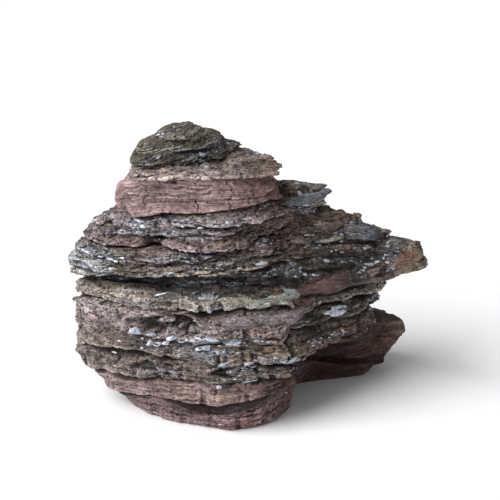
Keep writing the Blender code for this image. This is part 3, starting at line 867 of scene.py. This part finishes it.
# The body is drawn in courses of whole beds, each a closed mesh that meets the next one in a seam
traits = np.stack([painted_cleft_shade, smoothness, micaceous], axis=-1)
bedding_place = at_level(points, bedding)
bed_starts = [int(np.argmax(bed_of_row[:, 0] == k)) for k in range(bed_count)] + [len(reach) - 1]
course_rows = COURSE_TRIANGLES // (2 * COLUMNS) - 1
first_row = 0
course = 0
while first_row < bed_starts[-1]:
    last_row = max(row for row in bed_starts if first_row < row <= first_row + course_rows)
    course += 1
    part = slice(first_row, last_row + 1)
    levels = [points[row, :, 2].mean() for row in (first_row, last_row)]
    if last_row == bed_starts[-1]:
        levels[1] = STONE_HEIGHT
    ends = [[*(np.array(heart(level)) + PLUMB_LINE), level] for level in levels]
    vertices = np.concatenate([points[part].reshape(-1, 3), ends])
    name = f"stone_course_{course}"
    course_mesh = mesh_from_arrays(name, vertices * MM, *course_faces(last_row + 1 - first_row, COLUMNS))
    give_rock_attributes(course_mesh, *map(with_ends, (tint[part], traits[part], bedding_place[part] * MM)))
    course_mesh.materials.append(rock)
    course_mesh.shade_smooth()
    stone_course = bpy.data.objects.new(name, course_mesh)
    bpy.context.scene.collection.objects.link(stone_course)
    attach(stone_course, "root")
    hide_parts("stone")
    first_row = last_row

# ---------------------------------------------------------------------------------------------------
# Slabs and broken leaves. Where the beds split, thin plates of the same rock stick out of the faces with
# their own sharp edges, and others lie loose-looking on the ledges. All are grown into the stone.

SLAB_SIDES = 40
SLAB_HALF_DEPTH = 0.28  # of its length
SLAB_LEAN = -0.12
SLAB_TAPER = 0.06
SLAB_THINNING = 0.6
RIM_RADIUS = 20  # of the circle in the noise that roughens a slab's rim
RIMS_APART = 50
LEAF_SIDES = 9
LEAF_COUNT = 1200
LEAF_SEED = 5
LEAVES_UP_TO = 172
LEAF_TAPER = 0.12
LEDGE_FACES_UP = 0.75  # least upward part of the normal of a ledge
CORNER_POWER = 2.6  # of a plate's outline: 2 is an oval, and more is squarer
NEAR_PIXELS = 1.5
FAR_AWAY = 9  # m, farther than every point
PIXELS_PER_MM = 1.48


def plate_points(middles, along, out, up, half_sizes, ragged, taper, thinning=0.0):
    """Points of closed plates: (plate, ring, side) and the two middles of their faces.

    Seen from above a plate is the curve |x|^2.6 + |y|^2.6 = 1 stretched to its half sizes, its reach
    multiplied by ragged, one value a side. Its three rings are the bottom edge, the rim and the top edge,
    and the edges stand in from the rim by the taper. Its thickness falls by the thinning at its two ends.
    """
    sides = ragged.shape[1]
    turn = np.arange(sides) / sides * 2 * math.pi
    reach = np.abs(np.cos(turn)) ** CORNER_POWER + np.abs(np.sin(turn)) ** CORNER_POWER
    reach = reach ** (-1 / CORNER_POWER) * ragged
    rings = []
    for level, share in ((-1.0, 1 - taper), (0.1, 1.0), (1.0, 1 - 1.3 * taper)):
        x = reach * share * np.cos(turn) * half_sizes[:, :1]
        y = reach * share * np.sin(turn) * half_sizes[:, 1:2]
        z = level * half_sizes[:, 2:] * (1 - thinning * np.cos(turn) ** 2)
        rings.append(middles[:, None] + x[..., None] * along[:, None] + y[..., None] * out[:, None]
                     + z[..., None] * up[:, None])
    ends = np.stack([middles - half_sizes[:, 2:] * up, middles + half_sizes[:, 2:] * up], axis=1)
    return np.concatenate([np.stack(rings, axis=1).reshape(len(middles), -1, 3), ends], axis=1)


def plate_faces(plates, rings, sides):
    """Quads and end triangles of that many plates, each closed like a course of the stone."""
    quads, ends = course_faces(rings, sides)
    step = (np.arange(plates) * (rings * sides + 2))[:, None, None]
    return (quads + step).reshape(-1, 4), (ends + step).reshape(-1, 3)


def plate_frame(faces_out, tilt_along, tilt_out):
    """Axes of plates that lie in the bedding with one side outwards: turned up by two small slopes."""
    out = unit(faces_out * [1, 1, 0])
    along = np.stack([-out[:, 1], out[:, 0], tilt_along], axis=1)
    out = out + tilt_out[:, None] * [0, 0, 1]
    along, out = unit(along), unit(out)
    return along, out, np.cross(along, -out)


# The stone's points as the camera sees them, in view pixels
sight = points * MM - np.array(camera.location)
depth_seen = sight @ [0, math.cos(CAMERA_LIFT), -math.sin(CAMERA_LIFT)]
focal_pixels = LENS_MM / SENSOR_MM * VIEW_PIXELS
u_seen = VIEW_PIXELS / 2 + focal_pixels * sight[..., 0] / depth_seen
height_seen = sight @ [0, math.sin(CAMERA_LIFT), math.cos(CAMERA_LIFT)]
v_seen = VIEW_PIXELS / 2 - focal_pixels * height_seen / depth_seen


def nearest_at(u, v):
    """Index of the stone's point that shows at a view pixel: the nearest to the camera close by."""
    close = np.hypot(u_seen - u, v_seen - v) < NEAR_PIXELS
    return np.unravel_index(np.argmin(np.where(close, depth_seen, FAR_AWAY)), depth_seen.shape)


def for_each_point(values, plates):
    """One value a plate, given to all the points of that plate."""
    return np.repeat(values[:, None], plates.shape[1], axis=1)


# Slabs that stand out from the rest. The view pixel in the middle of the front edge (u, v), then the
# slab's length, how far it sticks out, its thickness, its slope to the right, its colour and smoothness.
SLABS = (
    (262, 319, 68, 3.5, 7.0, 0.03, "#847879", 0.4),  # purple-grey, in the middle
    (306, 306, 26, 3.0, 6.5, 0.30, "#6b524f", 0.3),  # red-brown, to its right
    (334, 281, 86, 5.0, 6.5, 0.14, "#5a4644", 0.8),  # red-purple, under the wing
    (386, 269, 58, 2.0, 5.0, 0.20, "#8b766e", 0.4),  # pinkish lower edge of the wing
    (326, 230, 38, 2.5, 10.0, 0.12, "#75655a", 0.3),  # tan, on the wing
    (332, 240, 22, 3.0, 2.4, 0.08, "#a8a398", 0.3),  # its pale edge
    (368, 230, 36, 2.5, 9.0, -0.10, "#60646d", 0.5),  # blue-grey, on the wing
    (394, 239, 30, 2.5, 2.8, -0.06, "#8b909e", 0.6),  # its paler edge towards the tip
    (304, 200, 44, 2.5, 5.0, 0.10, "#7d838a", 0.6),  # blue-grey wedge beside the red band
    (362, 279, 46, 2.5, 3.0, 0.30, "#3c3634", 0.2),  # thin dark slab under the wing
    (246, 303, 44, 1.5, 5.5, -0.04, "#a39d8e", 0.2),  # pale green leaf
    (274, 301, 38, 2.0, 6.5, 0.10, "#979e9a", 0.3),  # and its bluish end
    (225, 342, 70, 1.5, 2.4, -0.02, "#8f8c90", 0.0),  # silvery leaf across the lower front
)
slab_table = np.array([slab[2:6] for slab in SLABS], float)
under_slab = np.zeros(points.shape[:2], bool)
for u, v, length, _, thickness, slope, _, shale in SLABS:
    beside, above = u_seen - u, v_seen - v + slope * (u_seen - u)
    hidden = np.abs(beside) < 0.5 * PIXELS_PER_MM * length
    hidden &= np.abs(above) < 0.7 * PIXELS_PER_MM * thickness
    under_slab |= hidden & (shale > 0.25)
slab_at = tuple(np.array([nearest_at(u, v) for u, v, *_ in SLABS]).T)
facing = grid_normals(smoothed(points, (2, 4, 6)))
slab_axes = plate_frame(facing[slab_at], slab_table[:, 3], np.full(len(SLABS), SLAB_LEAN))
slab_sizes = slab_table[:, [0, 0, 2]] * [0.5, SLAB_HALF_DEPTH, 0.5]
slab_middles = points[slab_at] - slab_axes[1] * (slab_sizes[:, 1] - slab_table[:, 1])[:, None]
# Each rim is roughened by its own circle in the noise
slab_turn = np.arange(SLAB_SIDES) / SLAB_SIDES * 2 * math.pi
rim_circle = RIM_RADIUS * np.stack([np.cos(slab_turn), np.sin(slab_turn)], axis=1)
rim_levels = np.repeat(RIMS_APART * np.arange(len(SLABS))[:, None], SLAB_SIDES, axis=1)
slab_rims = at_level(np.tile(rim_circle, (len(SLABS), 1, 1)), rim_levels)
slab_ragged = 1 + 0.20 * noise(slab_rims, (9, 9, 1), 81) + 0.12 * noise(slab_rims, (3, 3, 1), 82)
slab_points = plate_points(slab_middles, *slab_axes, slab_sizes, slab_ragged, SLAB_TAPER, SLAB_THINNING)
# A slab has its own colour in front and takes on the stone's behind
slab_front = clamp_step(np.sin(slab_turn), -0.7, 0.5)
slab_front = np.concatenate([np.tile(slab_front, 3), [0.4, 0.4]])
slab_colours = np.array([linear(slab[6]) for slab in SLABS])
slab_tints = blended(tint[slab_at][:, None], slab_colours[:, None], slab_front)
slab_traits = np.array([(0, shale, 0.5 * (1 - shale)) for *_, shale in SLABS])

rng = np.random.default_rng(LEAF_SEED)
leaf_rows = (rng.random(LEAF_COUNT * 3) * len(points)).astype(int)
leaf_columns = (rng.random(LEAF_COUNT * 3) * COLUMNS).astype(int)
rough_there = (smoothness[leaf_rows, leaf_columns] < 0.3) & (painted_cleft_shade[leaf_rows, leaf_columns] < 0.4)
rough_there &= points[leaf_rows, leaf_columns, 2] < LEAVES_UP_TO
leaf_at = (leaf_rows[rough_there][:LEAF_COUNT], leaf_columns[rough_there][:LEAF_COUNT])
count = len(leaf_at[0])
on_ledge = facing[leaf_at][:, 2] > LEDGE_FACES_UP
leaf_axes = plate_frame(facing[leaf_at], rng.normal(0, 0.10, count), rng.normal(-0.10, 0.12, count))
leaf_length = 2.2 + 4.5 * rng.random(count) ** 2
leaf_width = leaf_length * rng.uniform(0.5, 0.9, count)
leaf_sizes = np.stack([leaf_length, leaf_width, rng.uniform(0.3, 0.75, count)], axis=1)
stick_out = np.where(on_ledge, leaf_width, rng.uniform(0.2, 1.2, count))
leaf_middles = points[leaf_at] - leaf_axes[1] * (leaf_width - stick_out)[:, None]
leaf_ragged = 1 + 0.22 * rng.uniform(-1, 1, (count, LEAF_SIDES))
leaf_points = plate_points(leaf_middles, *leaf_axes, leaf_sizes, leaf_ragged, LEAF_TAPER)
leaf_tints = for_each_point(tint[leaf_at] * rng.uniform(0.8, 1.35, (count, 1)), leaf_points)
leaf_traits = np.stack([np.zeros(count), np.zeros(count), micaceous[leaf_at]], axis=1)

for name, solid_points, sides, tints, marks in (
    ("slabs", slab_points, SLAB_SIDES, slab_tints, slab_traits),
    ("broken_leaves", leaf_points, LEAF_SIDES, leaf_tints, leaf_traits),
):
    marks = for_each_point(marks, solid_points)
    flat_points = solid_points.reshape(-1, 3)
    flat_points[:, 2] = np.maximum(flat_points[:, 2], 0)
    leaves_mesh = mesh_from_arrays(name, flat_points * MM, *plate_faces(len(solid_points), 3, sides))
    give_rock_attributes(leaves_mesh, tints.reshape(-1, 3), marks.reshape(-1, 3), flat_points * MM)
    leaves_mesh.materials.append(rock)
    split_leaves = bpy.data.objects.new(name, leaves_mesh)
    bpy.context.scene.collection.objects.link(split_leaves)
    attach(split_leaves, "root")
    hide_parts("stone")

# ---------------------------------------------------------------------------------------------------
# Mica flakes. Books of silvery muscovite, split flat and a few millimetres across, lie in the bedding
# and shine where a lip has broken through them.

FLAKE_SIDES = 8
FLAKE_THICKNESS = 0.4
FLAKE_TAPER = 0.05
FLAKE_LIFT = 0.3
LINE_SPREAD = 1.6  # view pixels
SMALL_FLAKES = 750
FLAKE_TRIES = 12 * SMALL_FLAKES
FLAKE_SEED = 9
FLAKES_UP_TO = 152
# The view pixel of each large flake (u, v), its width and height as seen, in mm
FLAKES = (
    (135, 330, 9.0, 4.5), (152, 336, 6.5, 2.0), (150, 342, 6.0, 4.0), (157, 343, 6.0, 3.5),
    (172, 339, 8.5, 6.0), (167, 342, 4.0, 2.0), (236, 342, 8.0, 3.0), (190, 341, 9.0, 2.8),
    (200, 343, 9.0, 2.6), (212, 342, 8.0, 2.4), (114, 351, 5.5, 2.0), (158, 294, 9.0, 2.2),
    (140, 220, 7.0, 2.2), (143, 227, 4.0, 2.4), (203, 153, 5.0, 3.2), (210, 312, 4.0, 2.0),
    (262, 262, 8.0, 2.2), (262, 221, 3.0, 2.0), (328, 313, 8.0, 4.5), (340, 309, 14.0, 6.5),
    (335, 313, 9.0, 5.0), (309, 235, 9.0, 1.8), (223, 365, 8.0, 2.0), (248, 364, 8.0, 2.0),
    (255, 366, 6.0, 2.0), (292, 362, 7.0, 3.0), (298, 361, 4.0, 3.0), (252, 382, 14.0, 0.9),
    (220, 387, 4.6, 3.2), (204, 349, 9.0, 4.0), (214, 352, 8.0, 4.0), (120, 340, 4.0, 1.6),
    (99, 260, 6.0, 2.0), (86, 252, 6.0, 1.6), (108, 256, 5.0, 1.6), (352, 223, 5.0, 1.6),
    (388, 236, 6.0, 1.4), (306, 206, 5.0, 1.6),
)
# Seams where mica shows as a broken line: the view pixels of its two ends, and its number of flakes
MICA_LINES = (
    (184, 340, 286, 343, 18), (128, 333, 182, 342, 8), (78, 252, 124, 262, 14), (192, 270, 262, 262, 12),
    (214, 365, 304, 361, 10), (176, 228, 262, 222, 12), (150, 266, 200, 272, 10), (196, 352, 236, 354, 8),
)
flake_rng = np.random.default_rng(FLAKE_SEED)
line_pixels = np.concatenate([
    np.linspace((u, v), (end_u, end_v), number) + flake_rng.normal(0, LINE_SPREAD, (number, 2))
    for u, v, end_u, end_v, number in MICA_LINES])
large_at = np.array([nearest_at(u, v) for u, v in [flake[:2] for flake in FLAKES] + line_pixels.tolist()])
# Small flakes lie anywhere that the rock is rich in mica, but not on the slabs, the block or the crown
tries = np.stack([flake_rng.integers(0, len(points), FLAKE_TRIES),
                  flake_rng.integers(0, COLUMNS, FLAKE_TRIES)], axis=1)
tried = tuple(tries.T)
rich = micaceous[tried] * (1 - 0.7 * painted_cleft_shade[tried]) > flake_rng.random(FLAKE_TRIES)
rich &= (points[tried][:, 2] < FLAKES_UP_TO) & (in_block[tried] < 0.3) & ~under_slab[tried]
small_at = tries[rich][:SMALL_FLAKES]
flake_at = tuple(np.concatenate([large_at, small_at]).T)
count = len(flake_at[0])
small_sizes = flake_rng.uniform(0.3, 1.3, (len(small_at), 1)) * [1.0, 0.4]
line_sizes = (0.6 + 2.4 * flake_rng.random((len(line_pixels), 1)) ** 2) * [1.0, 0.38]
flake_sizes = np.concatenate([np.array([flake[2:] for flake in FLAKES]) / 2, line_sizes, small_sizes])
flake_sizes = np.concatenate([flake_sizes, np.full((count, 1), FLAKE_THICKNESS / 2)], axis=1)
# Large flakes lie in the face that shows, and small ones nearly flat in the bedding
is_large = (np.arange(count) < len(large_at))[:, None]
flake_up = np.where(is_large, 1.0, 0.6) * facing[flake_at] + np.where(is_large, 0.25, 0.8) * [0, 0, 1]
flake_up = unit(flake_up + flake_rng.normal(0, 0.15, (count, 3)))
flake_along = np.cross([0, 0, 1], facing[flake_at]) + flake_rng.normal(0, 0.08, (count, 3))
flake_along = unit(flake_along - np.sum(flake_along * flake_up, axis=1, keepdims=True) * flake_up)
flake_out = np.cross(flake_up, flake_along)
flake_middles = points[flake_at] + FLAKE_LIFT * flake_up
flake_ragged = 1 + 0.4 * flake_rng.uniform(-1, 1, (count, FLAKE_SIDES))
flake_points = plate_points(
    flake_middles, flake_along, flake_out, flake_up, flake_sizes, flake_ragged, FLAKE_TAPER)

# Muscovite: pearly white with a blue cast, almost metallic on its split face, with faint growth lines
PATCH_SIZE = 2.5
GROWTH_SIZE = 0.9
GROWTH_DEPTH = 0.2
mica = bpy.data.materials.new("silvery muscovite mica")
mica.use_nodes = True
tree = mica.node_tree
shader = tree.nodes["Principled BSDF"]
place = add_node(tree, "ShaderNodeTexCoord").outputs["Object"]
mica_patches = add_node(
    tree, "ShaderNodeTexNoise", {"Scale": 1000 / PATCH_SIZE, "Detail": 3}, [("Vector", place)])
mica_colour = add_node(tree, "ShaderNodeValToRGB", (), [("Fac", mica_patches)])
mica_colour.color_ramp.elements[0].position = 0.35
mica_colour.color_ramp.elements[0].color = (*linear("#8a90a4"), 1)
mica_colour.color_ramp.elements[1].position = 0.6
mica_colour.color_ramp.elements[1].color = (*linear("#ccd2de"), 1)
tree.links.new(mica_colour.outputs["Color"], shader.inputs["Base Color"])
shader.inputs["Roughness"].default_value = 0.32
shader.inputs["Metallic"].default_value = 0.25
shader.inputs["IOR"].default_value = 1.58
growth = add_node(
    tree, "ShaderNodeTexNoise", {"Scale": 1000 / GROWTH_SIZE, "Detail": 2}, [("Vector", place)])
growth = add_node(
    tree, "ShaderNodeBump", {"Strength": 0.1, "Distance": GROWTH_DEPTH * MM}, [("Height", growth)])
tree.links.new(growth.outputs[0], shader.inputs["Normal"])

flakes_mesh = mesh_from_arrays("mica_flakes", flake_points.reshape(-1, 3) * MM,
                               *plate_faces(count, 3, FLAKE_SIDES))
flakes_mesh.materials.append(mica)
mica_flakes = bpy.data.objects.new("mica_flakes", flakes_mesh)
bpy.context.scene.collection.objects.link(mica_flakes)
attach(mica_flakes, "root")
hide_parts("stone")
